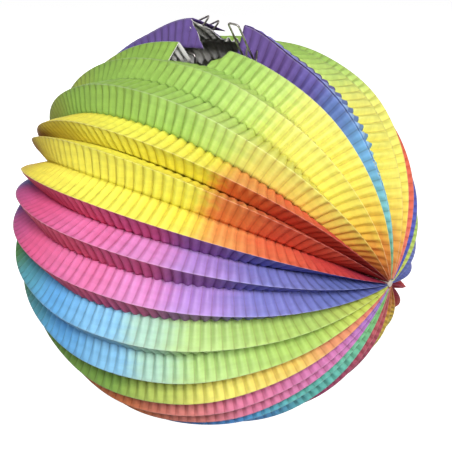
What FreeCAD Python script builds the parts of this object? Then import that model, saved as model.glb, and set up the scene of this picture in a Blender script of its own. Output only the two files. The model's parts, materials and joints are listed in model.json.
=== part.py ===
"""Ball-shaped accordion paper lantern, as a parametric FreeCAD document. Millimetres, +Z up.

The lantern is a fan of folded paper pleats that run from pole to pole like the segments of an orange. The pole
axis lies along X. The pleats hinge about it, so that the ball closes into a flat half disc. The origin is the
middle of the hanging loop of the right wire clip, which a lantern stick picks up.
"""

import FreeCAD, Part
import math
import os

import Sketcher
from FreeCAD import Placement, Rotation, Vector

X_AXIS, Y_AXIS, Z_AXIS = Vector(1, 0, 0), Vector(0, 1, 0), Vector(0, 0, 1)

# ---- driving dimensions, in millimetres and degrees ----
DIMENSIONS = [
    ("ball_radius", 125.0),  # pole axis to the ridge of a pleat, halfway between the poles
    ("pole_half", 123.0),  # centre to pole, along X
    ("face_width", 17.3),  # of each face of a pleat, from its ridge down to its valley
    ("least_depth", 6.5),  # of a valley, where two ridges stand far apart
    ("paper_wall", 1.8),  # thickness of the crimped paper in this model, measured towards the ball's middle
    ("paper_least", 0.55),  # aimed for square to its face, which asks for more of the former where a pleat is narrow
    ("paper_most", 10.0),  # up to this much towards the ball's middle, by the poles
    ("paper_gap", 0.3),  # clearance between neighbouring pleats along a valley
    ("pole_bore", 9.0),  # radius at which a pleat stops short of the pole axis
    # ends of the cut paper round the top opening, along X from the ball's centre
    ("purple_left_ridge", -28.0),
    ("purple_left_front", -14.0),
    ("purple_left_rear", -20.0),
    ("purple_right_end", 9.0),
    ("green_left_end", -25.7),
    ("green_right_ridge", 11.4),
    ("green_right_rear", 9.0),
    ("green_right_front", 4.3),
    ("end_lift", 5.0),  # the purple pleat's ridge stands up beside the opening
    ("end_lift_front", 7.5),  # and its left half's front edge has come out of the fold
    ("end_lift_reach", 38.0),  # over which length it rises
    ("flap_width", 6.0),  # seam flap, down the rear face of the end pleat
    ("flap_wall", 0.6),
    ("flap_gap", 0.72),
    ("flap_left_end", -20.0),  # the left flap runs on past its pleat as a tongue
    ("flap_tongue_slant", 5.8),  # whose lower corner reaches this much further
    ("flap_right_end", 9.0),
    ("flap_tongue", 10.0),  # width of that tongue, which the left clip hooks on to
    ("clip_wire", 0.6),  # radius of the clips' steel wire
    ("clip_half", 3.5),  # half the distance between a clip's two legs
    ("clip_length", 30.0),  # from the loop's bar to the bend at the foot
    ("clip_corner", 1.8),  # radius of the loop's two corners
    ("clip_foot", 1.2),  # radius of the bend at the foot
    ("clip_foot_turn", 140.0),  # angle of that bend
    ("clip_hook", 5.0),  # length of the wire's free end past the bend
    ("clip_lean", 32.0),  # how far the right clip leans forward from upright
    ("clip_right_x", 20.0),  # the right clip's foot, from the ball's centre
    ("clip_right_y", 4.6),
    ("clip_right_z", 109.5),
    ("clip_left_past", 0.6),  # the left clip's foot, past the end of the flap's tongue
    ("clip_left_gap", 1.1),  # from the tongue to the middle of the wire
    ("clip_left_tilt", 3.5),  # its legs lean in towards the pleat
    ("tie_radius", 2.0),  # thread tie at each pole
    ("tie_length", 20.0),
    ("thread_radius", 0.5),
    ("bail_wire", 0.7),  # radius of the light holder's wire
    ("bail_middle", -7.0),  # along X from the ball's centre
    ("bail_half", 12.0),  # half the distance between its arms
    ("bail_corner", 2.0),  # radius of its bends
    ("bail_end", 8.0),  # length of each end that lies in the fold
    ("bail_y", 4.74),  # where the ends lie in the fold
    ("bail_z", 103.92),
    ("bail_drop", 149.0),  # from the ends down to the bottom bar
    ("cup_bore", 6.2),  # candle socket radius
    ("cup_wall", 0.8),
    ("cup_depth", 15.0),
    ("cup_floor", 1.0),
    ("pan_radius", 9.8),  # it sits between the arms
    ("pan_wall", 0.8),
    ("pan_rim", 2.5),
    ("rivet_radius", 1.5),
]

STATIONS = 18  # steps along a pleat, or along half of a cut one
THREAD_TURNS = 6  # turns of thread in a pole tie

# The pleats in order round the pole axis, from the end pleat at the top, forwards, down and round behind:
# (printed colour, angle of the ridge from +Z towards -Y, how far its middle is sunk).
# The ball is flattest round the top opening, where two pleats are cut through.
PLEATS = [
    ("purple", -6.5, 4.0),
    ("green", 1.0, 10.0),
    ("green", 16.0, 7.0),
    ("green", 31.0, 0.0),
    ("yellow", 43.5, 0.0),
    ("yellow", 49.0, 0.0),
    ("yellow", 62.0, 0.0),
    ("pink", 71.5, 0.0),
    ("pink", 83.5, 0.0),
    ("blue", 96.0, 0.0),
    ("blue", 109.0, 0.0),
    ("green", 120.0, 0.0),
    ("orange", 129.0, 0.0),
    ("orange", 137.0, 0.0),
    ("blue", 144.0, 0.0),
    ("blue", 157.5, 0.0),
    ("purple", 171.0, 0.0),
    ("purple", 184.5, 0.0),
    ("green", 198.0, 0.0),
    ("green", 211.0, 0.0),
    ("yellow", 224.5, 0.0),
    ("yellow", 237.5, 0.0),
    ("pink", 251.0, 0.0),
    ("pink", 264.0, 0.0),
    ("blue", 277.5, 0.0),
    ("purple", 291.0, 0.0),
    ("red", 304.0, 0.0),
    ("green", 317.0, 0.0),
    ("green", 329.0, 7.0),
]
CUT_PLEATS = 2  # the first two pleats are cut through by the opening

doc = FreeCAD.newDocument("paper_lantern")


def make_sheet():
    sheet = doc.addObject("Spreadsheet::Sheet", "Dimensions")
    for row, (name, value) in enumerate(DIMENSIONS, 1):
        sheet.set("A%d" % row, name)
        sheet.set("B%d" % row, "%g" % value)
        sheet.setAlias("B%d" % row, name)
    doc.recompute()
    return sheet


sheet = make_sheet()


def cell(name):
    return float(sheet.get(name))


def clip_direction(lean):
    """The way a clip's legs point from its foot, when it leans forward by that many degrees."""
    return Vector(0, -math.sin(math.radians(lean)), math.cos(math.radians(lean)))


RIGHT_FOOT = Vector(cell("clip_right_x"), cell("clip_right_y"), cell("clip_right_z"))
# everything below is measured from the ball's centre, and this moves it to the hanging loop's origin
BALL_CENTRE = -(RIGHT_FOOT + clip_direction(cell("clip_lean")) * cell("clip_length"))


# ---- folded paper ----
# A pleat is a sheet folded into an inverted V along a meridian. Its faces warp from wide open halfway between the
# poles to shut at the poles, which no pad, revolution or primitive makes, so its flat facets are set here.


def normal(phi):
    """The ellipse's outward normal at angle phi from its middle, as (along X, radial)."""
    along, radial = math.sin(phi) / cell("pole_half"), math.cos(phi) / cell("ball_radius")
    size = math.hypot(along, radial)
    return along / size, radial / size


def ridge_point(phi, sink):
    """(x, radius) of a ridge at angle phi, sunk by so many millimetres at its middle."""
    radius = cell("ball_radius") * math.cos(phi) - sink * math.cos(phi) ** 3
    return cell("pole_half") * math.sin(phi), radius


def valley_depth(phi, sink, half_angle):
    """How far a valley lies below its ridges. The faces keep their width, so it deepens as the ridges close up."""
    apart = ridge_point(phi, sink)[1] * math.sin(math.radians(half_angle))
    return math.sqrt(max(cell("face_width") ** 2 - apart**2, cell("least_depth") ** 2))


def wall_depth(phi, sink, half_angle):
    """The sheet's thickness towards the ball's middle, which keeps it thick enough square to its steep faces."""
    apart = ridge_point(phi, sink)[1] * math.sin(math.radians(half_angle))
    needed = cell("paper_least") * cell("face_width") / apart
    return min(max(cell("paper_wall"), needed), cell("paper_most"))


def inward(point, phi, depth):
    along, radial = normal(phi)
    return point[0] - along * depth, point[1] - radial * depth


def in_space(point, degrees, sideways=0.0):
    """A point of the meridian at that angle round the pole axis, moved sideways round it."""
    angle = math.radians(degrees)
    out, round_it = Vector(0, -math.sin(angle), math.cos(angle)), Vector(0, -math.cos(angle), -math.sin(angle))
    return Vector(point[0], 0, 0) + out * point[1] + round_it * sideways


def smooth(share):
    share = min(max(share, 0.0), 1.0)
    return share * share * (3 - 2 * share)


def end_lift(number, x):
    """How far the ridge and the front valley of the purple end pleat rise at x, beside the opening."""
    if number != 0:
        return 0.0, 0.0
    reach = cell("end_lift_reach")
    if x > cell("purple_right_end") - 1:
        return cell("end_lift") * smooth(1 - (x - cell("purple_right_end")) / reach), 0.0
    share = smooth(1 - (cell("purple_left_ridge") - x) / reach)
    return cell("end_lift") * share, cell("end_lift_front") * share


def facet_solid(sections, closed_by):
    """A solid through rings of points, which go down the sheet's outside and back up its inside. closed_by lists the
    point numbers of the facets that close each end. The inside is split along the same diagonals as the outside, or
    the two would pass through each other where the sheet warps."""
    count = len(sections[0])
    inside = range(2, count // 2 + 1)
    facets = []
    for near, far in zip(sections, sections[1:]):
        for i in range(count):
            j = (i + 1) % count
            if i in inside:
                facets.append((near[i], near[j], far[i]))
                facets.append((near[j], far[j], far[i]))
            else:
                facets.append((near[i], near[j], far[j]))
                facets.append((near[i], far[j], far[i]))
    for section in (sections[0], sections[-1]):
        facets += [tuple(section[i] for i in corners) for corners in closed_by]
    faces = [Part.Face(Part.makePolygon(list(corners) + [corners[0]])) for corners in facets]
    solid = Part.Solid(Part.makeShell(faces))
    if solid.Volume < 0:
        solid.reverse()
    return solid


def pleat_neighbours(number):
    """(angle, sink) of the valleys before and after a pleat."""
    here = PLEATS[number]
    before = PLEATS[number - 1]
    after = PLEATS[(number + 1) % len(PLEATS)]
    angle_before = before[1] - (360.0 if before[1] > here[1] else 0.0)
    angle_after = after[1] + (360.0 if after[1] < here[1] else 0.0)
    return (
        ((angle_before + here[1]) / 2, (before[2] + here[2]) / 2),
        ((angle_after + here[1]) / 2, (after[2] + here[2]) / 2),
    )


def pleat_section(number, ridge_phi, after_phi=None, before_phi=None):
    """Six points round the folded sheet: the outer ridge, down the face towards the next pleat, back inside, and up
    to the face towards the pleat before. Ridge and valleys are each taken at their own angle along the meridian."""
    after_phi = ridge_phi if after_phi is None else after_phi
    before_phi = ridge_phi if before_phi is None else before_phi
    _, angle, sink = PLEATS[number]
    half_gap = cell("paper_gap") / 2
    (before, before_sink), (after, after_sink) = pleat_neighbours(number)
    ridge_lift = end_lift(number, cell("pole_half") * math.sin(ridge_phi))[0]
    front_lift = end_lift(number, cell("pole_half") * math.sin(after_phi))[1]
    ridge = inward(ridge_point(ridge_phi, sink), ridge_phi, -ridge_lift)
    depth_before = valley_depth(before_phi, before_sink, angle - before)
    depth_after = valley_depth(after_phi, after_sink, after - angle)
    valley_before = inward(ridge_point(before_phi, before_sink), before_phi, depth_before)
    valley_after = inward(ridge_point(after_phi, after_sink), after_phi, depth_after - front_lift)
    wall_before = wall_depth(before_phi, before_sink, angle - before)
    wall_after = wall_depth(after_phi, after_sink, after - angle)
    wall_ridge = wall_depth(ridge_phi, sink, (after - before) / 2)
    return [
        in_space(ridge, angle),
        in_space(valley_after, after, -half_gap),
        in_space(inward(valley_after, after_phi, wall_after), after, -half_gap),
        in_space(inward(ridge, ridge_phi, wall_ridge), angle),
        in_space(inward(valley_before, before_phi, wall_before), before, half_gap),
        in_space(valley_before, before, half_gap),
    ]


PLEAT_ENDS = [(0, 1, 2), (0, 2, 3), (0, 3, 4), (0, 4, 5)]
POLE_PHI = math.acos(cell("pole_bore") / cell("ball_radius"))


def phi_at(x):
    return math.asin(x / cell("pole_half"))


def spread(first, last):
    """Evenly spaced angles from first to last."""
    return [first + (last - first) * i / STATIONS for i in range(STATIONS + 1)]


def add_feature(label, shape):
    feature = doc.addObject("Part::Feature", label)
    feature.Label = label
    feature.Shape = shape
    feature.Placement = Placement(BALL_CENTRE, Rotation())
    return feature


def cut_ends(number, side):
    """Where a cut pleat's ridge, next valley and last valley end beside the opening, as angles along the meridian."""
    names = {
        (0, "left"): ("purple_left_ridge", "purple_left_front", "purple_left_rear"),
        (0, "right"): ("purple_right_end",) * 3,
        (1, "left"): ("green_left_end",) * 3,
        (1, "right"): ("green_right_ridge", "green_right_front", "green_right_rear"),
    }
    return [phi_at(cell(name)) for name in names[number, side]]


def make_pleats():
    whole = [POLE_PHI] * 3
    for number, (colour, _, _) in enumerate(PLEATS):
        name = "pleat_%02d_%s" % (number + 1, colour)
        if number >= CUT_PLEATS:
            yield make_pleat(name, number, [-POLE_PHI] * 3, whole)
            continue
        yield make_pleat(name + "_left", number, [-POLE_PHI] * 3, cut_ends(number, "left"))
        yield make_pleat(name + "_right", number, cut_ends(number, "right"), whole)


def make_pleat(label, number, firsts, lasts):
    lines = zip(*[spread(first, last) for first, last in zip(firsts, lasts)])
    return add_feature(label, facet_solid([pleat_section(number, *phis) for phis in lines], PLEAT_ENDS))


def rear_face(phi):
    """The end pleat's rear face at angle phi: a point on its ridge, the way down it, and its outward normal."""
    section = pleat_section(0, phi)
    ridge, valley = section[0], section[5]
    down = (valley - ridge).normalize()
    nudge = 0.001
    along_ridge = pleat_section(0, phi + nudge)[0] - pleat_section(0, phi - nudge)[0]
    outward = along_ridge.cross(down).normalize()
    return ridge, down, outward


def flap_section(upper_phi, lower_phi):
    """Four points round the seam flap, which lies along the rear face of the end pleat, just under its ridge."""
    tongue = 0.0
    if lower_phi < 0:
        from_end = cell("flap_left_end") + cell("flap_tongue_slant") - cell("pole_half") * math.sin(lower_phi)
        tongue = smooth(1 - from_end / cell("end_lift_reach"))
    width = cell("flap_width") + (cell("flap_tongue") - cell("flap_width")) * tongue
    width = width * math.cos(lower_phi) + cell("flap_wall")
    corners = []
    for phi, distance in ((upper_phi, 0.0), (lower_phi, width)):
        ridge, down, outward = rear_face(phi)
        near = ridge + outward * cell("flap_gap") + down * (cell("flap_gap") + distance)
        corners.append((near, near + outward * cell("flap_wall")))
    (upper_in, upper_out), (lower_in, lower_out) = corners
    return [upper_in, lower_in, lower_out, upper_out]


def left_flap_ends():
    upper = phi_at(cell("flap_left_end"))
    return upper, phi_at(cell("flap_left_end") + cell("flap_tongue_slant"))


def make_flaps():
    right = phi_at(cell("flap_right_end"))
    spans = [
        ("seam_flap_left", (-POLE_PHI, -POLE_PHI), left_flap_ends()),
        ("seam_flap_right", (right, right), (POLE_PHI, POLE_PHI)),
    ]
    for label, firsts, lasts in spans:
        lines = zip(*[spread(first, last) for first, last in zip(firsts, lasts)])
        sections = [flap_section(*phis) for phis in lines]
        yield add_feature(label, facet_solid(sections, [(0, 1, 2), (0, 2, 3)]))


# ---- wire and thread, from rods and bends that read the sheet ----


def rod(name, radius, length, place):
    part = doc.addObject("Part::Cylinder", name)
    part.setExpression("Radius", "Dimensions." + radius)
    part.setExpression("Height", length)
    part.Placement = place
    return part


def bend(name, bend_radius, wire_radius, turn, place):
    """Part of a ring in the local XY plane, from the local +X axis anticlockwise."""
    part = doc.addObject("Part::Torus", name)
    part.setExpression("Radius1", bend_radius)
    part.setExpression("Radius2", "Dimensions." + wire_radius)
    part.setExpression("Angle3", turn)
    part.Placement = place
    return part


def fuse(label, parts, place):
    whole = doc.addObject("Part::MultiFuse", label)
    whole.Label = label
    whole.Shapes = parts
    whole.Placement = place
    return whole


def along(direction, up=Z_AXIS):
    return Rotation(up, direction)


def axes(x_way, y_way):
    """The rotation that carries local X and Y to those directions."""
    return Rotation(x_way, y_way, x_way.cross(y_way), "XYZ")


def make_clip(label, place):
    """A hairpin hook of steel wire: a loop with a straight bar, two legs, and a foot bent back on each leg.
    It is drawn upright with its feet at the origin and its hooks towards +Y, then placed."""
    half, length, corner, foot_radius = (
        cell(k) for k in ("clip_half", "clip_length", "clip_corner", "clip_foot")
    )
    turn = math.radians(cell("clip_foot_turn"))
    leg = "Dimensions.clip_length - Dimensions.clip_corner"
    parts = [
        rod(
            label + "_bar",
            "clip_wire",
            "2 * (Dimensions.clip_half - Dimensions.clip_corner)",
            Placement(Vector(corner - half, 0, length), along(X_AXIS)),
        )
    ]
    for side, way in (("a", -1), ("b", 1)):
        parts.append(rod(label + "_leg_" + side, "clip_wire", leg, Placement(Vector(way * half, 0, 0), Rotation())))
        centre = Vector(way * (half - corner), 0, length - corner)
        parts.append(
            bend(
                label + "_corner_" + side,
                "Dimensions.clip_corner",
                "clip_wire",
                "90",
                Placement(centre, axes(X_AXIS * way, Z_AXIS)),
            )
        )
        centre = Vector(way * half, foot_radius, 0)
        parts.append(
            bend(
                label + "_foot_" + side,
                "Dimensions.clip_foot",
                "clip_wire",
                "Dimensions.clip_foot_turn",
                Placement(centre, axes(Y_AXIS * -1, Z_AXIS * -1)),
            )
        )
        tip = centre + Vector(0, -math.cos(turn), -math.sin(turn)) * foot_radius
        heading = Vector(0, math.sin(turn), -math.cos(turn))
        parts.append(
            rod(label + "_hook_" + side, "clip_wire", "Dimensions.clip_hook", Placement(tip, along(heading)))
        )
    return fuse(label, parts, place)


def right_clip_place():
    return Placement(BALL_CENTRE + RIGHT_FOOT, Rotation(X_AXIS, cell("clip_lean")))


def left_clip_place():
    """The left clip is slipped over the end of the flap's tongue, and lies along its pleat towards the left pole."""
    _, _, lower, upper = flap_section(*left_flap_ends())
    down = (lower - upper).normalize()
    outward = rear_face(left_flap_ends()[0])[2]
    tilt = math.radians(cell("clip_left_tilt"))
    along_face = down.cross(outward)
    if along_face.x > 0:
        along_face = along_face * -1
    legs = along_face.normalize() * math.cos(tilt) - outward * math.sin(tilt)
    hooks = legs.cross(down)
    foot = (lower + upper) * 0.5 + outward * cell("clip_left_gap") - legs * cell("clip_left_past")
    return Placement(BALL_CENTRE + foot, axes(down, hooks))


def make_tie(label, way):
    """The strips' ends are tied into a bundle at the pole: its thread is wound on a short core along the pole axis."""
    length = cell("tie_length")
    outer = Vector(way * cell("pole_half"), 0, 0)
    heading = X_AXIS * -way
    parts = [rod(label + "_core", "tie_radius", "Dimensions.tie_length", Placement(outer, along(heading)))]
    for turn in range(THREAD_TURNS):
        centre = outer + heading * (length * (turn + 1) / (THREAD_TURNS + 1))
        parts.append(
            bend(label + "_thread_%d" % turn, "Dimensions.tie_radius", "thread_radius", "360",
                 Placement(centre, along(heading)))
        )
    return fuse(label, parts, Placement(BALL_CENTRE, Rotation()))


def make_bail():
    """The light holder's wire: a long U whose two ends turn outwards and lie in the fold beside the opening."""
    half, corner, drop, end = (cell(k) for k in ("bail_half", "bail_corner", "bail_drop", "bail_end"))
    parts = [
        rod(
            "bail_bar",
            "bail_wire",
            "2 * (Dimensions.bail_half - Dimensions.bail_corner)",
            Placement(Vector(corner - half, 0, -drop), along(X_AXIS)),
        )
    ]
    for side, way in (("a", -1), ("b", 1)):
        outwards = X_AXIS * way
        parts.append(
            rod(
                "bail_arm_" + side,
                "bail_wire",
                "Dimensions.bail_drop - 2 * Dimensions.bail_corner",
                Placement(Vector(way * half, 0, corner - drop), Rotation()),
            )
        )
        parts.append(
            bend(
                "bail_foot_" + side,
                "Dimensions.bail_corner",
                "bail_wire",
                "90",
                Placement(Vector(way * (half - corner), 0, corner - drop), axes(outwards, Z_AXIS * -1)),
            )
        )
        parts.append(
            bend(
                "bail_shoulder_" + side,
                "Dimensions.bail_corner",
                "bail_wire",
                "90",
                Placement(Vector(way * (half + corner), 0, -corner), axes(outwards * -1, Z_AXIS)),
            )
        )
        parts.append(
            rod(
                "bail_end_" + side,
                "bail_wire",
                "Dimensions.bail_end",
                Placement(Vector(way * (half + corner), 0, 0), along(outwards)),
            )
        )
    return fuse("holder_bail", parts, Placement(BALL_CENTRE + BAIL_PIVOT, Rotation()))


BAIL_PIVOT = Vector(cell("bail_middle"), cell("bail_y"), cell("bail_z"))
BAR_TOP = BAIL_PIVOT + Vector(0, 0, cell("bail_wire") - cell("bail_drop"))


# ---- turned tin parts of the light holder, as bodies with a revolved sketch ----


def origin_plane(body, role):
    return next(f for f in body.Origin.OriginFeatures if f.Role == role)


def turned_body(label, outline, constraints, place):
    """A body of revolution about local Z. outline is a closed list of (radius, height) points, and constraints
    lists (point number, "x" or "y", expression) for each point that the sheet places off its axis."""
    body = doc.addObject("PartDesign::Body", label)
    body.Label = label
    sketch = body.newObject("Sketcher::SketchObject", label + "_outline")
    sketch.AttachmentSupport = (origin_plane(body, "XZ_Plane"), [""])
    sketch.MapMode = "FlatFace"
    count = len(outline)
    for i in range(count):
        near, far = outline[i], outline[(i + 1) % count]
        sketch.addGeometry(Part.LineSegment(Vector(near[0], near[1], 0), Vector(far[0], far[1], 0)), False)
    for i in range(count):
        sketch.addConstraint(Sketcher.Constraint("Coincident", i, 2, (i + 1) % count, 1))
    for point, way, expression in constraints:
        kind = {"x": "DistanceX", "y": "DistanceY"}[way]
        value = outline[point][0 if way == "x" else 1]
        if abs(value) < 1e-9:
            sketch.addConstraint(Sketcher.Constraint("PointOnObject", point, 1, -2 if way == "x" else -1))
            continue
        index = sketch.addConstraint(Sketcher.Constraint(kind, -1, 1, point, 1, value))
        sketch.setExpression("Constraints[%d]" % index, expression)
    doc.recompute()
    turned = body.newObject("PartDesign::Revolution", label + "_turned")
    turned.Profile = sketch
    turned.ReferenceAxis = (sketch, ["V_Axis"])
    turned.Angle = 360
    body.Tip = turned
    body.Placement = place
    return body


def outline_constraints(outline):
    """Each point of an outline is (radius, height, radius expression, height expression)."""
    points = [(p[0], p[1]) for p in outline]
    constraints = []
    for i, p in enumerate(outline):
        constraints.append((i, "x", p[2]))
        constraints.append((i, "y", p[3]))
    return points, constraints


D = "Dimensions."


def make_cup(place):
    bore, wall, depth, floor = (cell(k) for k in ("cup_bore", "cup_wall", "cup_depth", "cup_floor"))
    hole = cell("rivet_radius")
    outer, inner = D + "cup_bore + " + D + "cup_wall", D + "cup_bore"
    top, bottom = D + "cup_depth + " + D + "cup_floor", D + "cup_floor"
    points, constraints = outline_constraints(
        [
            (hole, 0, D + "rivet_radius", ""),
            (bore + wall, 0, outer, ""),
            (bore + wall, depth + floor, outer, top),
            (bore, depth + floor, inner, top),
            (bore, floor, inner, bottom),
            (hole, floor, D + "rivet_radius", bottom),
        ]
    )
    return turned_body("candle_cup", points, constraints, place)


def make_pan(place):
    radius, wall, rim, hole = (cell(k) for k in ("pan_radius", "pan_wall", "pan_rim", "rivet_radius"))
    points, constraints = outline_constraints(
        [
            (hole, 0, D + "rivet_radius", ""),
            (radius, 0, D + "pan_radius", ""),
            (radius + rim / 2, rim, D + "pan_radius + " + D + "pan_rim / 2", D + "pan_rim"),
            (radius + rim / 2 - wall, rim, D + "pan_radius + " + D + "pan_rim / 2 - " + D + "pan_wall", D + "pan_rim"),
            (radius - wall, wall, D + "pan_radius - " + D + "pan_wall", D + "pan_wall"),
            (hole, wall, D + "rivet_radius", D + "pan_wall"),
        ]
    )
    return turned_body("drip_pan", points, constraints, place)


def make_rivet(place):
    """A plug rivet that holds cup and pan together. It ends flush with the cup's floor, and sits on the wire."""
    stack = D + "cup_floor + " + D + "pan_wall"
    rivet = rod("holder_rivet", "rivet_radius", stack, place)
    rivet.Label = "holder_rivet"
    return rivet


pleats = list(make_pleats())
flaps = list(make_flaps())
hardware = [
    make_clip("hanger_clip_right", right_clip_place()),
    make_clip("hanger_clip_left", left_clip_place()),
    make_tie("pole_tie_left", -1),
    make_tie("pole_tie_right", 1),
    make_bail(),
    make_pan(Placement(BALL_CENTRE + BAR_TOP, Rotation())),
    make_cup(Placement(BALL_CENTRE + BAR_TOP + Vector(0, 0, cell("pan_wall")), Rotation())),
    make_rivet(Placement(BALL_CENTRE + BAR_TOP, Rotation())),
]


def check_and_export():
    doc.recompute()
    for item in doc.Objects:
        if "Invalid" in item.State or "Error" in item.State:
            raise RuntimeError("%s is %s" % (item.Label, item.State))
    os.makedirs("parts", exist_ok=True)
    for part in pleats + flaps + hardware:
        if part.Shape.isNull() or not part.Shape.isValid():
            raise RuntimeError(part.Label + " has no valid shape")
        part.Shape.exportStep(os.path.join("parts", part.Label + ".step"))


check_and_export()
print("ball centre from the hanging loop:", [round(v, 3) for v in BALL_CENTRE])
for clip in hardware[:2]:
    print(clip.Label, "foot at", clip.Placement.Base, "bar along", clip.Placement.Rotation.multVec(X_AXIS))
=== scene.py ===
import json
import math

import bpy
import numpy as np
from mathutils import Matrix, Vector


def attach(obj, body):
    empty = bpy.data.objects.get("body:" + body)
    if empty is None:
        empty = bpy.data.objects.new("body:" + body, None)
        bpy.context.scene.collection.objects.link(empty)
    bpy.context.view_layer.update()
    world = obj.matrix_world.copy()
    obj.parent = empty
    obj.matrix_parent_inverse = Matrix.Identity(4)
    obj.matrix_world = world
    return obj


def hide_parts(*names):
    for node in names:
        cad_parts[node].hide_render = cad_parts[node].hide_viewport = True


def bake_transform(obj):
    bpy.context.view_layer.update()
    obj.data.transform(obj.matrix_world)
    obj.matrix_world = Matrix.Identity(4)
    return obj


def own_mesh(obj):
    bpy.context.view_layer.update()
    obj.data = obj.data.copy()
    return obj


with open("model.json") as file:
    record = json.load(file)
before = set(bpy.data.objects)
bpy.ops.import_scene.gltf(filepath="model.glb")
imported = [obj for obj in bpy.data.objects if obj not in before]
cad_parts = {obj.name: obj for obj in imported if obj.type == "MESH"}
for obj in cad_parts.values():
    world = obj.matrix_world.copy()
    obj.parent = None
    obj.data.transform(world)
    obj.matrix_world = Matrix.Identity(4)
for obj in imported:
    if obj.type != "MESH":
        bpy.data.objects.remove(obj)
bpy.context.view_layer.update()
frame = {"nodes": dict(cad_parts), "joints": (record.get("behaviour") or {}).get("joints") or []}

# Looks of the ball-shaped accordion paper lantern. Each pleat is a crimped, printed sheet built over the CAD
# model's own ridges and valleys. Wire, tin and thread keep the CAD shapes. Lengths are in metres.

MM = 0.001

# ---- the ball, as in the CAD model (millimetres and degrees) ----
BALL_RADIUS, POLE_HALF = 125.0, 123.0
FACE_WIDTH, LEAST_DEPTH = 17.3, 6.5
END_LIFT, END_LIFT_FRONT, END_LIFT_REACH = 5.0, 7.5, 38.0
PURPLE_LEFT_RIDGE, PURPLE_RIGHT_END = -28.0, 9.0

# each pleat: (angle of the ridge from +Z towards -Y, how far its middle is sunk, dye of its rear face and of
# its front face)
# yellow_in_shade and pink_in_shade on some front faces, which face down, are the print darkened with painted
# shade
PLEATS = [
    (-6.5, 4.0, "purple", "purple"),
    (1.0, 10.0, "green", "green"),
    (16.0, 7.0, "green", "green"),
    (31.0, 0.0, "green", "green"),
    (43.5, 0.0, "yellow", "yellow_in_shade"),
    (49.0, 0.0, "yellow", "yellow_in_shade"),
    (62.0, 0.0, "yellow", "pink_in_shade"),
    (71.5, 0.0, "pink", "pink_in_shade"),
    (83.5, 0.0, "pink", "pink_in_shade"),
    (96.0, 0.0, "blue", "blue"),
    (109.0, 0.0, "blue", "lawn"),
    (120.0, 0.0, "lawn", "orange"),
    (129.0, 0.0, "orange", "orange"),
    (137.0, 0.0, "orange", "navy"),
    (144.0, 0.0, "navy", "navy"),
    (157.5, 0.0, "navy", "navy"),
    (171.0, 0.0, "magenta", "magenta"),
    (184.5, 0.0, "magenta", "magenta"),
    (198.0, 0.0, "green", "green"),
    (211.0, 0.0, "green", "green"),
    (224.5, 0.0, "yellow", "yellow"),
    (237.5, 0.0, "yellow", "yellow"),
    (251.0, 0.0, "pink", "pink"),
    (264.0, 0.0, "pink", "pink"),
    (277.5, 0.0, "blue", "blue"),
    (291.0, 0.0, "violet", "violet"),
    (304.0, 0.0, "red", "red"),
    (317.0, 0.0, "lawn", "green"),
    (329.0, 7.0, "green", "green"),
]
# ends of the cut halves beside the opening, along X: (rear valley, ridge, front valley)
CUT_ENDS = {
    (0, "left"): (-20.0, -28.0, -14.0),
    (0, "right"): (9.0, 9.0, 9.0),
    (1, "left"): (-25.7, -25.7, -25.7),
    (1, "right"): (9.0, 11.4, 4.3),
}

# ---- the crimped paper ----
CRIMPS = 63  # from pole to pole
CRIMP_HEIGHT = 1.75  # of the lobes on a face
CRIMP_RISE = 0.16  # share of a face, from the ridge, over which the lobes rise
ROUND_SHARE = 0.35  # share of the wave that is a plain rounded lobe; the rest has wider creases
WAVE_MIDDLE = 0.55  # height on the wave that stays on the flat face
UNEVEN = 0.16  # by how much one crimp is higher or lower than the next
TOOTH_HEIGHT = 2.6  # of the teeth along a valley
TOOTH_FADE = 0.5  # angle before the pole over which the teeth fade out
FULLEST_OUT, FULLEST_IN = 0.64, 0.4  # most that a face may bulge, as shares of the room that the pleat has
# slow waves of the whole sheet: (height, turns of the wave along the pleat, and round the ball)
SWAY = ((0.35, 5, 3), (0.25, 11, -2))
SHEET, THINNEST_SHEET = 0.35, 0.03  # thickness, square to the crimped surface
TIP_RADIUS = 3.0  # where the sheets are gathered under the pole tie
END_PHI = math.acos(TIP_RADIUS / BALL_RADIUS)
CRIMP_STEPS = (0.0, 0.07, 0.18, 0.34, 0.5, 0.66, 0.82, 0.93)  # places of the rows along each crimp
FACE_STEPS = (0.0, 0.03, 0.1, 0.24, 0.4, 0.56, 0.72, 0.87, 1.0)
POLE_REACH, POLE_BLEND = 1.0, 0.25  # angle past which thickness runs towards the ball's middle instead
POLE_SHEET = 0.7  # thickness there
SLANT_REACH = 0.35  # angle over which the crimp rows turn to follow a slanting cut
END_GAP = 0.15  # of a crimp: rows nearer than this to a strip's end are left out

centre = np.array(next(j for j in frame["joints"] if j["name"] == "fold")["pos_m"])


def smooth(share):
    share = np.clip(share, 0.0, 1.0)
    return share * share * (3 - 2 * share)


def arc_share(phi):
    """Place along the meridian, from 0 at the left pole to 1 at the right."""
    return phi / math.pi + 0.5


def out_of_ellipse(phi):
    """The meridian's outward normal at angle phi, as (along X, radial)."""
    along, radial = np.sin(phi) / POLE_HALF, np.cos(phi) / BALL_RADIUS
    size = np.hypot(along, radial)
    return along / size, radial / size


def meridian(phi, sink):
    """(along X, radial) of the ridge circle at angle phi from the middle, less the pleat's sink."""
    return POLE_HALF * np.sin(phi), BALL_RADIUS * np.cos(phi) - sink * np.cos(phi) ** 3


def in_space(along, radial, degrees):
    angle = math.radians(degrees)
    return np.stack([along, -radial * math.sin(angle), radial * math.cos(angle)], -1)


def lifts(number, x):
    """How far the end pleat's ridge and its front valley stand up beside the opening."""
    if number:
        return np.zeros_like(x), np.zeros_like(x)
    share = smooth(1 - (PURPLE_LEFT_RIDGE - x) / END_LIFT_REACH)
    right = smooth(1 - (x - PURPLE_RIGHT_END) / END_LIFT_REACH)
    left_side = x < PURPLE_RIGHT_END - 1
    return END_LIFT * np.where(left_side, share, right), END_LIFT_FRONT * np.where(left_side, share, 0.0)


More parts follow.
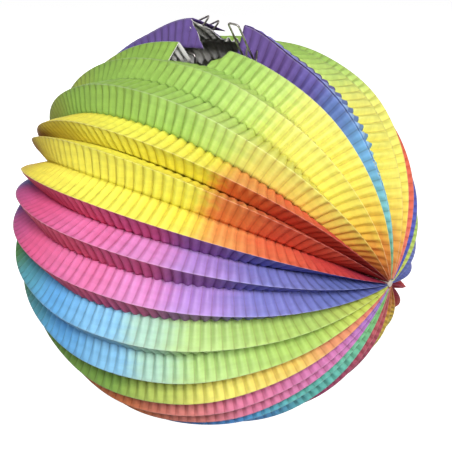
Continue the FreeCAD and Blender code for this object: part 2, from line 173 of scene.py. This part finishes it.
def valley_of(number, way):
    """(angle, sink) of the valley behind (way -1) or in front (way 1) of a pleat."""
    here, there = PLEATS[number], PLEATS[(number + way) % len(PLEATS)]
    angle = there[0]
    if way < 0 and angle > here[0]:
        angle -= 360.0
    if way > 0 and angle < here[0]:
        angle += 360.0
    return (angle + here[0]) / 2, (there[1] + here[1]) / 2


def ridge_line(number, phi):
    angle, sink = PLEATS[number][:2]
    x, r = meridian(phi, sink)
    nx, nr = out_of_ellipse(phi)
    lift = lifts(number, x)[0]
    return in_space(x + nx * lift, r + nr * lift, angle)


def valley_line(number, way, phi):
    here = PLEATS[number][0]
    angle, sink = valley_of(number, way)
    x, r = meridian(phi, sink)
    nx, nr = out_of_ellipse(phi)
    apart = r * math.sin(math.radians(abs(angle - here)))
    depth = np.sqrt(np.maximum(FACE_WIDTH**2 - apart**2, LEAST_DEPTH**2))
    if way > 0:
        depth = depth - lifts(number, x)[1]
    return in_space(x - nx * depth, r - nr * depth, angle)


def crimp_wave(phi):
    """Broad rounded lobes between narrow creases, from 0 in a crease to 1 on a lobe."""
    lobe = np.abs(np.sin(math.pi * arc_share(phi) * CRIMPS))
    return ROUND_SHARE * lobe + (1 - ROUND_SHARE) * lobe**2


def unevenness(phi, seed):
    """Each crimp is a little higher or lower than the next."""
    lobe = np.floor(arc_share(phi) * CRIMPS)
    return 1.0 + UNEVEN * np.sin(12.9898 * lobe + 78.233 * seed)


def face_points(number, way, phi, across, lift=0.0, calm=1.0):
    """Points on a pleat's rear (way -1) or front (way 1) face, and the ball's outward direction at each.

    across runs from 0 on the ridge to 1 in the valley. lift moves the points off the face, and calm lessens
    the crimping, from all of it at 1 to none at 0."""
    ridge, valley = ridge_line(number, phi), valley_line(number, way, phi)
    flat = ridge + (valley - ridge) * across[..., None]
    nudge = 1e-4
    ridge_ahead = ridge_line(number, phi + nudge) - ridge_line(number, phi - nudge)
    valley_ahead = valley_line(number, way, phi + nudge) - valley_line(number, way, phi - nudge)
    ahead = ridge_ahead + valley_ahead * across[..., None]
    outwards = np.cross(ahead, valley - ridge) * -way
    outwards /= np.linalg.norm(outwards, axis=-1, keepdims=True)
    nx, nr = out_of_ellipse(phi)
    here = PLEATS[number][0]
    to_valley = valley_of(number, way)[0] - here
    turn = np.radians(here + to_valley * across)
    radial = np.stack([nx, -nr * np.sin(turn), nr * np.cos(turn)], -1)
    half_width = np.hypot(ridge[..., 1], ridge[..., 2]) * math.sin(math.radians(abs(to_valley)))
    rise = smooth(across / CRIMP_RISE)
    sideways = np.minimum(CRIMP_HEIGHT, FULLEST_OUT * (1 - across) * half_width) * rise * calm
    upwards = TOOTH_HEIGHT * across**2 * smooth((END_PHI - np.abs(phi)) / TOOTH_FADE) * calm
    if number == 0 and way > 0:
        upwards = upwards * (1 - lifts(number, POLE_HALF * np.sin(phi))[1] / END_LIFT_FRONT)
    seed = number if way < 0 else (number + 1) % len(PLEATS)
    wave = crimp_wave(phi) * unevenness(phi, seed) - WAVE_MIDDLE
    sway = sum(height * np.sin(along * phi + around * turn) for height, along, around in SWAY)
    sway = sway * np.cos(phi)
    bulge = np.maximum(sideways * wave, -FULLEST_IN * across * half_width)
    moved = flat + outwards * (bulge + lift)[..., None] + radial * (upwards * wave + sway)[..., None]
    return moved, radial


def crimp_rows(first, last):
    """Angles of the rows across a strip, a few to each crimp and one on each of the strip's ends."""
    pitch = math.pi / CRIMPS
    every = [(k + s) * pitch - math.pi / 2 for k in range(CRIMPS) for s in CRIMP_STEPS]
    inside = [phi for phi in every if first + END_GAP * pitch < phi < last - END_GAP * pitch]
    return np.array([first, *inside, last])


def slanted(rows, firsts, lasts):
    """Turns the rows near each end of a strip so that they meet its slanting cut."""
    phi = np.repeat(rows[:, None], len(lasts), 1)
    phi = phi - (rows[-1] - lasts) * smooth((phi - rows[-1] + SLANT_REACH) / SLANT_REACH)
    return phi + (firsts - rows[0]) * smooth((rows[0] + SLANT_REACH - phi) / SLANT_REACH)


def surface_normals(points, outwards):
    """Unit normals of a grid of points, on the side that outwards points to."""
    normals = np.cross(np.gradient(points, axis=0), np.gradient(points, axis=1))
    normals /= np.maximum(np.linalg.norm(normals, axis=-1, keepdims=True), 1e-9)
    if (normals * outwards).sum() < 0:
        normals = -normals
    return normals


def link(name, mesh, slots):
    for material in slots:
        mesh.materials.append(material)
    thing = bpy.data.objects.new(name, mesh)
    bpy.context.scene.collection.objects.link(thing)
    return thing


def volume_inside(points, faces):
    """The volume that a closed mesh of quads holds, negative where its faces look inwards."""
    a, b, c, d = (points[faces[:, corner]] for corner in range(4))
    return float((np.cross(a, b) * c + np.cross(a, c) * d).sum()) / 6


def sheet_object(name, outer, inner, uv, column_slots, slots):
    """A thin closed sheet between two grids of points. column_slots gives the material of each column of
    outer faces, and slot 0 is for the back and the cut edges."""
    rows, columns = outer.shape[:2]
    count = rows * columns
    index = np.arange(count).reshape(rows, columns)
    a, b, c, d = index[:-1, :-1], index[1:, :-1], index[1:, 1:], index[:-1, 1:]
    top = np.stack([a, b, c, d], -1).reshape(-1, 4)
    under = top[:, [2, 1, 0, 3]] + count  # split along the same diagonals as the top, or the two would cross
    quads, kinds = [top, under], [np.tile(column_slots, rows - 1), np.zeros(len(top), int)]
    rim = np.concatenate([index[:, 0][::-1], index[0, 1:], index[1:, -1], index[-1, :-1][::-1]])
    near, far = rim, np.roll(rim, -1)
    wall = np.stack([near, far, far + count, near + count], -1)
    wall = wall[near != far]
    quads.append(wall)
    kinds.append(np.zeros(len(wall), int))
    points = np.concatenate([outer.reshape(-1, 3), inner.reshape(-1, 3)]) * MM + centre
    faces = np.concatenate(quads)
    if volume_inside(points - centre, faces) < 0:
        faces = faces[:, ::-1]
    mesh = bpy.data.meshes.new(name)
    mesh.from_pydata(points.tolist(), [], faces.tolist())
    mesh.polygons.foreach_set("material_index", np.concatenate(kinds).astype(np.int32))
    mesh.polygons.foreach_set("use_smooth", np.ones(len(faces), bool))
    layer = mesh.uv_layers.new(name="print")
    flat_uv = np.concatenate([uv.reshape(-1, 2)] * 2)
    layer.data.foreach_set("uv", flat_uv[faces.reshape(-1)].reshape(-1).astype(np.float32))
    mesh.validate()
    mesh.update()
    return link(name, mesh, slots)


def sheet_depths(number, outer, radial, phi, spread):
    """Steps from the outer face to the inner one. They are square to the surface, and shorter inside a narrow
    fold. By the poles, where the folds are too tight for that, they run to the ball's middle."""
    here = PLEATS[number][0]
    rear, front = (abs(valley_of(number, way)[0] - here) for way in (-1, 1))
    half_angle = np.radians(np.where(spread < 0, rear, front))
    half_width = np.hypot(outer[..., 1], outer[..., 2]) * np.sin(half_angle)
    thick = np.clip(0.5 * np.abs(spread) * half_width, THINNEST_SHEET, SHEET)[..., None]
    by_pole = smooth((np.abs(phi) - POLE_REACH) / POLE_BLEND)[..., None]
    return surface_normals(outer, radial) * thick * (1 - by_pole) + radial * POLE_SHEET * by_pole


def strip(name, number, ends, sides, slots):
    """A pleat's sheet, or one face of it. ends holds the angles where it starts and those where it stops,
    each as (rear, ridge, front)."""
    across = {-1: [-s for s in FACE_STEPS[:0:-1]], 1: list(FACE_STEPS[1:])}
    columns = np.array((across[-1] if -1 in sides else []) + [0.0] + (across[1] if 1 in sides else []))
    limits = []
    for rear, ridge, front in ends:
        limits.append(np.interp(columns, (-1, 0, 1), (rear, ridge, front)))
    rows = crimp_rows(limits[0].min(), limits[1].max())
    phi = slanted(rows, limits[0], limits[1])
    spread = np.repeat(columns[None], len(rows), 0)
    rear_points, radial = face_points(number, -1, phi, np.maximum(-spread, 0))
    front_points, front_radial = face_points(number, 1, phi, np.maximum(spread, 0))
    is_rear = (spread < 0)[..., None]
    outer = np.where(is_rear, rear_points, front_points)
    inner = outer - sheet_depths(number, outer, np.where(is_rear, radial, front_radial), phi, spread)
    uv = np.stack([arc_share(phi), spread / 2 + 0.5], -1)
    middles = (columns[:-1] + columns[1:]) / 2
    column_slots = np.where(middles < 0, 1, 2)
    return sheet_object(name, outer, inner, uv, column_slots, slots)


# ---- materials ----


def linear(colour):
    """An 8-bit sRGB colour as the linear values a shader takes."""
    parts = [c / 255 for c in colour]
    return [p / 12.92 if p < 0.04045 else ((p + 0.055) / 1.055) ** 2.4 for p in parts] + [1.0]


class Tree:
    """A material's node tree, with short ways to add and join nodes."""

    def __init__(self, name):
        self.material = bpy.data.materials.new(name)
        self.material.use_nodes = True
        self.nodes, self.links = self.material.node_tree.nodes, self.material.node_tree.links
        self.nodes.clear()
        self.shader = self.nodes.new("ShaderNodeBsdfPrincipled")
        output = self.nodes.new("ShaderNodeOutputMaterial")
        self.links.new(self.shader.outputs[0], output.inputs["Surface"])

    def put(self, socket, value):
        if isinstance(value, bpy.types.NodeSocket):
            self.links.new(value, socket)
        else:
            socket.default_value = value

    def math(self, operation, a, b=0.0, c=0.0, clamp=False):
        node = self.nodes.new("ShaderNodeMath")
        node.operation, node.use_clamp = operation, clamp
        for socket, value in zip(node.inputs, (a, b, c)):
            self.put(socket, value)
        return node.outputs[0]

    def uv(self):
        node = self.nodes.new("ShaderNodeUVMap")
        node.uv_map = "print"
        split = self.nodes.new("ShaderNodeSeparateXYZ")
        self.links.new(node.outputs[0], split.inputs[0])
        return node.outputs[0], split.outputs[0], split.outputs[1]

    def stretched(self, vector, scale):
        node = self.nodes.new("ShaderNodeMapping")
        self.put(node.inputs["Vector"], vector)
        node.inputs["Scale"].default_value = scale
        return node.outputs[0]

    def noise(self, vector, scale, detail=2.0):
        node = self.nodes.new("ShaderNodeTexNoise")
        self.put(node.inputs["Vector"], vector)
        node.inputs["Scale"].default_value = scale
        node.inputs["Detail"].default_value = detail
        return node.outputs["Fac"]

    def object_space(self):
        return self.nodes.new("ShaderNodeTexCoord").outputs["Object"]

    def ramp(self, value, stops, smoothly=True):
        node = self.nodes.new("ShaderNodeValToRGB")
        self.put(node.inputs[0], value)
        node.color_ramp.interpolation = "EASE" if smoothly else "LINEAR"
        points = node.color_ramp.elements
        while len(points) > 1:
            points.remove(points[0])
        points[0].position, points[0].color = stops[0][0], linear(stops[0][1])
        for place, colour in stops[1:]:
            points.new(place).color = linear(colour)
        return node.outputs[0]

    def mix(self, kind, share, a, b):
        node = self.nodes.new("ShaderNodeMix")
        node.data_type, node.blend_type = "RGBA", kind
        for socket, value in ((node.inputs[0], share), (node.inputs[6], a), (node.inputs[7], b)):
            self.put(socket, value)
        return node.outputs[2]

    def bump(self, height, strength, distance):
        node = self.nodes.new("ShaderNodeBump")
        self.put(node.inputs["Height"], height)
        node.inputs["Strength"].default_value = strength
        node.inputs["Distance"].default_value = distance
        self.links.new(node.outputs[0], self.shader.inputs["Normal"])

    def finish(self, colour, rough, metallic=0.0, specular=0.5):
        self.put(self.shader.inputs["Base Color"], colour)
        self.put(self.shader.inputs["Roughness"], rough)
        self.shader.inputs["Metallic"].default_value = metallic
        self.shader.inputs["Specular IOR Level"].default_value = specular
        return self.material


# dyes, as (place from the left pole 0 to the right pole 1, colour)
DYES = {
    "purple": [(0.0, (95, 110, 190)), (0.2, (92, 96, 178)), (0.34, (112, 88, 160)), (0.6, (112, 86, 158)),
        (0.66, (112, 100, 178)), (0.72, (112, 140, 208)), (0.8, (130, 192, 245)), (0.88, (138, 212, 225)),
        (1.0, (120, 190, 105))],
    "green": [(0.0, (150, 150, 60)), (0.2, (158, 172, 74)), (0.34, (146, 186, 82)), (0.46, (158, 198, 90)),
        (0.56, (176, 216, 108)), (0.63, (204, 232, 126)), (0.71, (246, 244, 126)), (0.82, (252, 242, 112)),
        (0.9, (250, 218, 92)), (0.95, (238, 165, 78)), (1.0, (212, 110, 68))],
    "yellow": [(0.0, (130, 45, 45)), (0.14, (165, 85, 45)), (0.22, (225, 195, 75)), (0.34, (248, 232, 88)),
        (0.5, (255, 250, 96)), (0.63, (255, 244, 96)), (0.69, (247, 172, 98)), (0.77, (240, 122, 84)),
        (0.86, (224, 82, 76)), (1.0, (190, 55, 95))],
    # yellow_in_shade: the yellow print darkened with painted shade, for the down-facing front faces
    "yellow_in_shade": [(0.0, (125, 55, 40)), (0.2, (155, 105, 48)), (0.3, (235, 215, 82)), (0.46, (255, 246, 94)),
        (0.63, (255, 248, 92)), (0.68, (238, 140, 72)), (0.78, (212, 88, 62)), (1.0, (165, 58, 55))],
    "pink": [(0.0, (80, 75, 150)), (0.17, (105, 88, 160)), (0.26, (195, 88, 145)), (0.36, (232, 98, 150)),
        (0.5, (240, 128, 185)), (0.6, (236, 155, 218)), (0.67, (200, 158, 232)), (0.78, (148, 148, 222)),
        (0.9, (120, 132, 205)), (1.0, (110, 120, 195))],
    # pink_in_shade: the pink print darkened with painted shade, for the down-facing front faces
    "pink_in_shade": [(0.0, (85, 75, 140)), (0.2, (130, 74, 122)), (0.3, (212, 78, 108)), (0.46, (226, 88, 124)),
        (0.58, (205, 86, 138)), (0.66, (152, 98, 165)), (0.76, (104, 104, 176)), (1.0, (84, 90, 176))],
    "blue": [(0.0, (80, 140, 60)), (0.25, (92, 150, 85)), (0.34, (92, 170, 190)), (0.42, (108, 186, 245)),
        (0.54, (150, 214, 252)), (0.6, (190, 232, 212)), (0.68, (200, 234, 148)), (0.82, (192, 224, 118)),
        (1.0, (220, 228, 100))],
    "lawn": [(0.0, (85, 130, 55)), (0.3, (105, 150, 65)), (0.5, (135, 178, 80)), (0.6, (195, 214, 105)),
        (0.7, (248, 240, 120)), (0.8, (250, 222, 115)), (0.88, (240, 165, 120)), (1.0, (230, 120, 120))],
    "orange": [(0.0, (150, 85, 45)), (0.35, (180, 105, 60)), (0.5, (220, 128, 78)), (0.62, (232, 140, 130)),
        (0.72, (235, 135, 172)), (0.84, (225, 135, 190)), (1.0, (150, 120, 210))],
    "navy": [(0.0, (70, 60, 130)), (0.35, (75, 75, 165)), (0.52, (75, 115, 205)), (0.66, (95, 165, 235)),
        (0.8, (110, 200, 190)), (1.0, (140, 205, 110))],
    "violet": [(0.0, (110, 70, 160)), (0.4, (100, 85, 180)), (0.7, (98, 110, 205)), (1.0, (90, 100, 195))],
    "red": [(0.0, (150, 45, 50)), (0.4, (215, 75, 65)), (0.75, (238, 112, 84)), (1.0, (236, 128, 110))],
    "magenta": [(0.0, (85, 45, 110)), (0.4, (130, 50, 110)), (0.7, (175, 70, 125)), (1.0, (215, 110, 110))],
    "lilac": [(0.0, (130, 110, 205)), (0.5, (140, 122, 208)), (0.64, (160, 165, 232)),
        (0.76, (170, 208, 250)), (0.86, (140, 215, 200)), (0.92, (110, 185, 95)), (0.935, (245, 243, 236)),
        (1.0, (245, 243, 236))],
}
# the white of the paper, used for the painted highlight along the ridges
RIDGE_HIGHLIGHT_WHITE = (245, 243, 236)


def crepe(name, stops):
    """Dyed, crimped paper: the dye bleeds unevenly across it, with painted shade in the creases and a painted
    highlight along the ridges.
    """
    tree = Tree(name)
    vector, along, across = tree.uv()
    bleed = tree.noise(tree.stretched(vector, (9.0, 5.0, 1.0)), 1.0, 3.0)
    place = tree.math("ADD", along, tree.math("MULTIPLY", tree.math("SUBTRACT", bleed, 0.5), 0.05))
    colour = tree.ramp(place, stops)
    blotch = tree.noise(tree.stretched(vector, (22.0, 9.0, 1.0)), 1.0, 4.0)
    pale_or_not = tree.ramp(blotch, [(0.3, (215, 215, 215)), (0.7, (255, 255, 255))])
    colour = tree.mix("MULTIPLY", 0.35, colour, pale_or_not)
    # painted shade: the colour is darkened in each crease between the crimps
    crimp_place = tree.math("MULTIPLY", along, float(CRIMPS))
    near_crease = tree.math("MULTIPLY", tree.math("PINGPONG", crimp_place, 0.5), 2.0)
    crease = tree.ramp(near_crease, [(0.0, (224, 214, 210)), (0.24, (248, 246, 245)), (1.0, (255, 255, 255))])
    colour = tree.mix("MULTIPLY", 1.0, colour, crease)
    # painted highlight: a thin pale line along every ridge, broken up by noise
    from_ridge = tree.math("ABSOLUTE", tree.math("SUBTRACT", across, 0.5))
    ridge_highlight = tree.math("SUBTRACT", 1.0, tree.math("DIVIDE", from_ridge, 0.016), clamp=True)
    ridge_highlight_breakup = tree.noise(tree.stretched(vector, (30.0, 2.0, 1.0)), 1.0, 2.0)
    ridge_highlight = tree.math("MULTIPLY", ridge_highlight, tree.math("MULTIPLY", ridge_highlight_breakup, 0.32))
    colour = tree.mix("MIX", ridge_highlight, colour, linear(RIDGE_HIGHLIGHT_WHITE))
    fibre = tree.noise(tree.stretched(vector, (900.0, 60.0, 1.0)), 1.0, 3.0)
    grain = tree.noise(tree.object_space(), 1800.0, 2.0)
    tree.bump(tree.math("ADD", fibre, grain), 0.35, 0.00012)
    rough = tree.math("ADD", 0.5, tree.math("MULTIPLY", blotch, 0.25))
    return tree.finish(colour, rough, specular=0.3)


def bare_paper():
    tree = Tree("bare_paper")
    grain = tree.noise(tree.object_space(), 900.0, 3.0)
    cloud = tree.noise(tree.object_space(), 60.0, 3.0)
    colour = tree.ramp(cloud, [(0.3, (232, 229, 220)), (0.7, (250, 249, 244))])
    tree.bump(grain, 0.3, 0.00015)
    rough = tree.math("ADD", 0.65, tree.math("MULTIPLY", grain, 0.2))
    return tree.finish(colour, rough)


def drawn_wire():
    """Bright drawn steel, dulled in patches."""
    tree = Tree("steel_wire")
    dull = tree.noise(tree.object_space(), 260.0, 4.0)
    draw = tree.noise(tree.stretched(tree.object_space(), (1.0, 0.15, 0.15)), 5000.0, 2.0)
    colour = tree.ramp(dull, [(0.35, (120, 112, 108)), (0.65, (196, 190, 188))])
    tree.bump(draw, 0.25, 0.00006)
    rough = tree.math("ADD", 0.2, tree.math("MULTIPLY", dull, 0.3))
    return tree.finish(colour, rough, metallic=1.0)


def tinplate():
    tree = Tree("tinplate")
    spangle = tree.nodes.new("ShaderNodeTexVoronoi")
    tree.put(spangle.inputs["Vector"], tree.object_space())
    spangle.inputs["Scale"].default_value = 260.0
    cell = tree.math("MULTIPLY", spangle.outputs["Color"], 1.0)
    colour = tree.ramp(cell, [(0.1, (176, 176, 172)), (0.9, (212, 212, 210))])
    smear = tree.noise(tree.object_space(), 120.0, 4.0)
    tree.bump(smear, 0.2, 0.0003)
    rough = tree.math("ADD", 0.22, tree.math("MULTIPLY", smear, 0.3))
    return tree.finish(colour, rough, metallic=1.0)


def cotton():
    tree = Tree("thread")
    twist = tree.noise(tree.object_space(), 2600.0, 3.0)
    shade = tree.noise(tree.object_space(), 300.0, 3.0)
    colour = tree.ramp(shade, [(0.3, (205, 198, 180)), (0.7, (236, 231, 218))])
    tree.bump(twist, 0.6, 0.0002)
    rough = tree.math("ADD", 0.75, tree.math("MULTIPLY", twist, 0.15))
    return tree.finish(colour, rough)


def pale_floor():
    tree = Tree("pale_floor")
    cloud = tree.noise(tree.object_space(), 2.0, 2.0)
    colour = tree.ramp(cloud, [(0.3, (250, 250, 250)), (0.7, (255, 255, 255))])
    rough = tree.math("ADD", 0.8, tree.math("MULTIPLY", cloud, 0.1))
    tree.shader.inputs["Emission Color"].default_value = (1.0, 1.0, 1.0, 1.0)
    tree.shader.inputs["Emission Strength"].default_value = 0.6
    return tree.finish(colour, rough, specular=0.1)


# ---- the pleats ----

white = bare_paper()
dyed = {name: crepe("crepe_" + name, stops) for name, stops in DYES.items()}
WHOLE = ((-END_PHI,) * 3, (END_PHI,) * 3)


def cut_angles(number, side):
    return tuple(math.asin(x / POLE_HALF) for x in CUT_ENDS[number, side])


def node_named(start, end=""):
    return next(n for n in sorted(frame["nodes"]) if n.startswith(start) and n.endswith(end))


def body_name(number):
    return "pleat_%02d" % (number + 1) if number else "end_pleat"


def fold_with_ball(thing, number):
    """Gives the sheet a mesh of its own."""
    here = PLEATS[number][0]
    widest = max(abs(valley_of(number, way)[0] - here) for way in (-1, 1))
    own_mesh(thing)


def make_pleat(number, side, ends):
    rear, front = PLEATS[number][2:]
    slots = [white, dyed[rear], dyed[front]]
    node = node_named("pleat_%02d_" % (number + 1), side)
    if number != 1:
        sheet = strip("sheet_" + node, number, ends, (-1, 1), slots)
        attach(sheet, body_name(number))
        if number:
            fold_with_ball(sheet, number)
        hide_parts(node)
        return
    # this pleat moves away from the end pleat, to which its rear face stays glued
    rear_face = strip("sheet_rear_" + node, number, ends, (-1,), slots)
    start, stop = ridge_foot(number), ridge_foot(number, True)
    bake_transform(rear_face)
    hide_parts(node)
    front_face = strip("sheet_front_" + node, number, ends, (1,), slots)
    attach(front_face, body_name(number))
    fold_with_ball(front_face, number)
    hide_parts(node)


def ridge_foot(number, at_ridge=False):
    """A point below a pleat's rear valley, or below its ridge. It is level with the valley, halfway between
    the poles."""
    middle = np.array(0.0)
    valley = valley_line(number, -1, middle) * MM + centre
    ridge = ridge_line(number, middle) * MM + centre
    return (centre[0], ridge[1] if at_ridge else valley[1], valley[2])


for number in range(len(PLEATS)):
    if number > 1:
        make_pleat(number, "", WHOLE)
        continue
    make_pleat(number, "left", (WHOLE[0], cut_angles(number, "left")))
    make_pleat(number, "right", (cut_angles(number, "right"), WHOLE[1]))

# ---- the seam flap, down the rear face of the end pleat ----
FLAP_WIDTH, FLAP_TONGUE = 6.0, 10.0
FLAP_LIFT, FLAP_SHEET = 0.45, 0.35
FLAP_START, FLAP_SPARE = 0.4, 0.6  # from the ridge to its glued edge, and width added before the fraying
FLAP_COLUMNS = 6
FLAP_CUT_X = 9.0  # where the right length starts, beside the opening
TONGUE_CUT_X = (-27.0, -14.2)  # the tongue's slanting end, at the ridge and at its free edge
FLAP_TIP_RADIUS = 6.0
FRAY = 0.7  # depth of the frayed teeth along its free edge
TEETH = 3  # to each crimp


def make_flap(side, firsts, lasts, tongue_end):
    """firsts and lasts are the angles where it starts and stops, on its glued edge and on its free one.
    tongue_end is the X that it widens towards, or None. The free edge is frayed, but not on the tongue."""
    columns = np.linspace(0.0, 1.0, FLAP_COLUMNS)
    first, last = np.interp(columns, (0, 1), firsts), np.interp(columns, (0, 1), lasts)
    rows = crimp_rows(min(firsts), max(lasts))
    phi = slanted(rows, first, last)
    width = FLAP_WIDTH * np.cos(phi)
    if tongue_end is not None:
        share = smooth(1 - (tongue_end - POLE_HALF * np.sin(phi)) / END_LIFT_REACH)
        width = width + (FLAP_TONGUE - FLAP_WIDTH) * share
    tooth = np.abs((arc_share(phi) * CRIMPS * TEETH) % 1.0 - 0.5) * 2
    frayed = smooth((np.abs(phi) - 0.05) / 0.2) if tongue_end is None else smooth((-0.4 - phi) / 0.3)
    ragged = 0.6 + 0.4 * np.sin(37.0 * phi + 5.0)
    width = width + FLAP_SPARE - FRAY * frayed * (1 - tooth) * ragged * np.cos(phi)
    across = (FLAP_START + columns * width) / FACE_WIDTH
    reach = np.where(phi < 0, smooth((-0.25 - phi) / 0.3), 1.0)
    outer, _ = face_points(0, -1, phi, across, FLAP_LIFT + FLAP_SHEET, reach)
    inner, _ = face_points(0, -1, phi, across, FLAP_LIFT, reach)
    uv = np.stack([arc_share(phi), 0.1 + 0.3 * np.repeat(columns[None], len(rows), 0)], -1)
    slots = [dyed["purple"], dyed["lilac" if side == "right" else "purple"]]
    flap = sheet_object("crepe_seam_flap_" + side, outer, inner, uv, np.ones(FLAP_COLUMNS - 1, int), slots)
    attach(flap, "end_pleat")
    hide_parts("seam_flap_" + side)


FLAP_END = math.acos(FLAP_TIP_RADIUS / BALL_RADIUS)
RIGHT_START = math.asin(FLAP_CUT_X / POLE_HALF)
make_flap("right", (RIGHT_START, RIGHT_START), (FLAP_END, FLAP_END), None)
TONGUE_ENDS = tuple(math.asin(x / POLE_HALF) for x in TONGUE_CUT_X)
make_flap("left", (-FLAP_END, -FLAP_END), TONGUE_ENDS, TONGUE_CUT_X[1])

# ---- wire, tin and thread, in the CAD shapes ----
wire, tin, thread = drawn_wire(), tinplate(), cotton()
FINISHES = {
    "hanger_clip_right": wire,
    "hanger_clip_left": wire,
    "holder_bail": wire,
    "drip_pan": tin,
    "candle_cup": tin,
    "holder_rivet": tin,
    "pole_tie_left": thread,
    "pole_tie_right": thread,
}
for node, material in FINISHES.items():
    shown = frame["nodes"][node]
    shown.data.materials.clear()
    shown.data.materials.append(material)

# ---- room, light and camera ----


def aim(thing, target):
    thing.rotation_euler = (Vector(target) - thing.location).to_track_quat("-Z", "Y").to_euler()


def lamp(name, place, size, power, target):
    data = bpy.data.lights.new(name, "AREA")
    data.shape, data.size, data.energy = "DISK", size, power
    light = bpy.data.objects.new(name, data)
    light.location = Vector(place)
    bpy.context.scene.collection.objects.link(light)
    aim(light, target)


middle = Vector(centre)
FLOOR_DROP, FLOOR_SIZE = 0.42, 60.0
bpy.ops.mesh.primitive_plane_add(size=FLOOR_SIZE, location=middle - Vector((0.0, 0.0, FLOOR_DROP)))
floor = bpy.context.object
floor.name = "floor"
floor.data.materials.append(pale_floor())
floor.visible_diffuse = False

world = bpy.data.worlds.new("studio")
bpy.context.scene.world = world
world.use_nodes = True
sky = world.node_tree.nodes["Background"]
sky.inputs["Color"].default_value = (1.0, 1.0, 1.0, 1.0)
direction = world.node_tree.nodes.new("ShaderNodeTexCoord").outputs["Generated"]
height = world.node_tree.nodes.new("ShaderNodeSeparateXYZ")
world.node_tree.links.new(direction, height.inputs[0])
glow = world.node_tree.nodes.new("ShaderNodeMapRange")
world.node_tree.links.new(height.outputs[2], glow.inputs["Value"])
SKY_HEIGHTS, SKY_STRENGTHS = (-0.5, 0.6), (0.05, 0.32)  # the sky is dim low down and brighter overhead
glow.inputs["From Min"].default_value, glow.inputs["From Max"].default_value = SKY_HEIGHTS
glow.inputs["To Min"].default_value, glow.inputs["To Max"].default_value = SKY_STRENGTHS
world.node_tree.links.new(glow.outputs[0], sky.inputs["Strength"])

LAMPS = {  # place from the ball's middle, diameter, watts
    "key": ((0.85, -0.9, 1.05), 0.5, 20.0),
    "fill": ((-1.3, -0.8, 0.5), 0.7, 4.5),
    "back": ((-1.1, 1.0, 0.3), 1.0, 5.0),
    "side": ((1.5, -0.25, 0.3), 0.7, 4.5),
}
for name, (place, size, power) in LAMPS.items():
    lamp(name, middle + Vector(place), size, power, middle)

AZIMUTH, ELEVATION, DISTANCE = math.radians(36.6), math.radians(28.6), 0.7
LENS, SENSOR_WIDTH = 89.6, 36.0
SHIFT_X, SHIFT_Y = 0.022, -0.0095
camera_data = bpy.data.cameras.new("camera")
camera_data.lens, camera_data.sensor_width = LENS, SENSOR_WIDTH
camera_data.shift_x, camera_data.shift_y = SHIFT_X, SHIFT_Y
camera = bpy.data.objects.new("camera", camera_data)
bpy.context.scene.collection.objects.link(camera)
away = Vector((
    math.sin(AZIMUTH) * math.cos(ELEVATION),
    -math.cos(AZIMUTH) * math.cos(ELEVATION),
    math.sin(ELEVATION),
))
camera.location = middle + away * DISTANCE
aim(camera, middle)
bpy.context.scene.camera = camera
bpy.context.scene.view_settings.view_transform = "Standard"
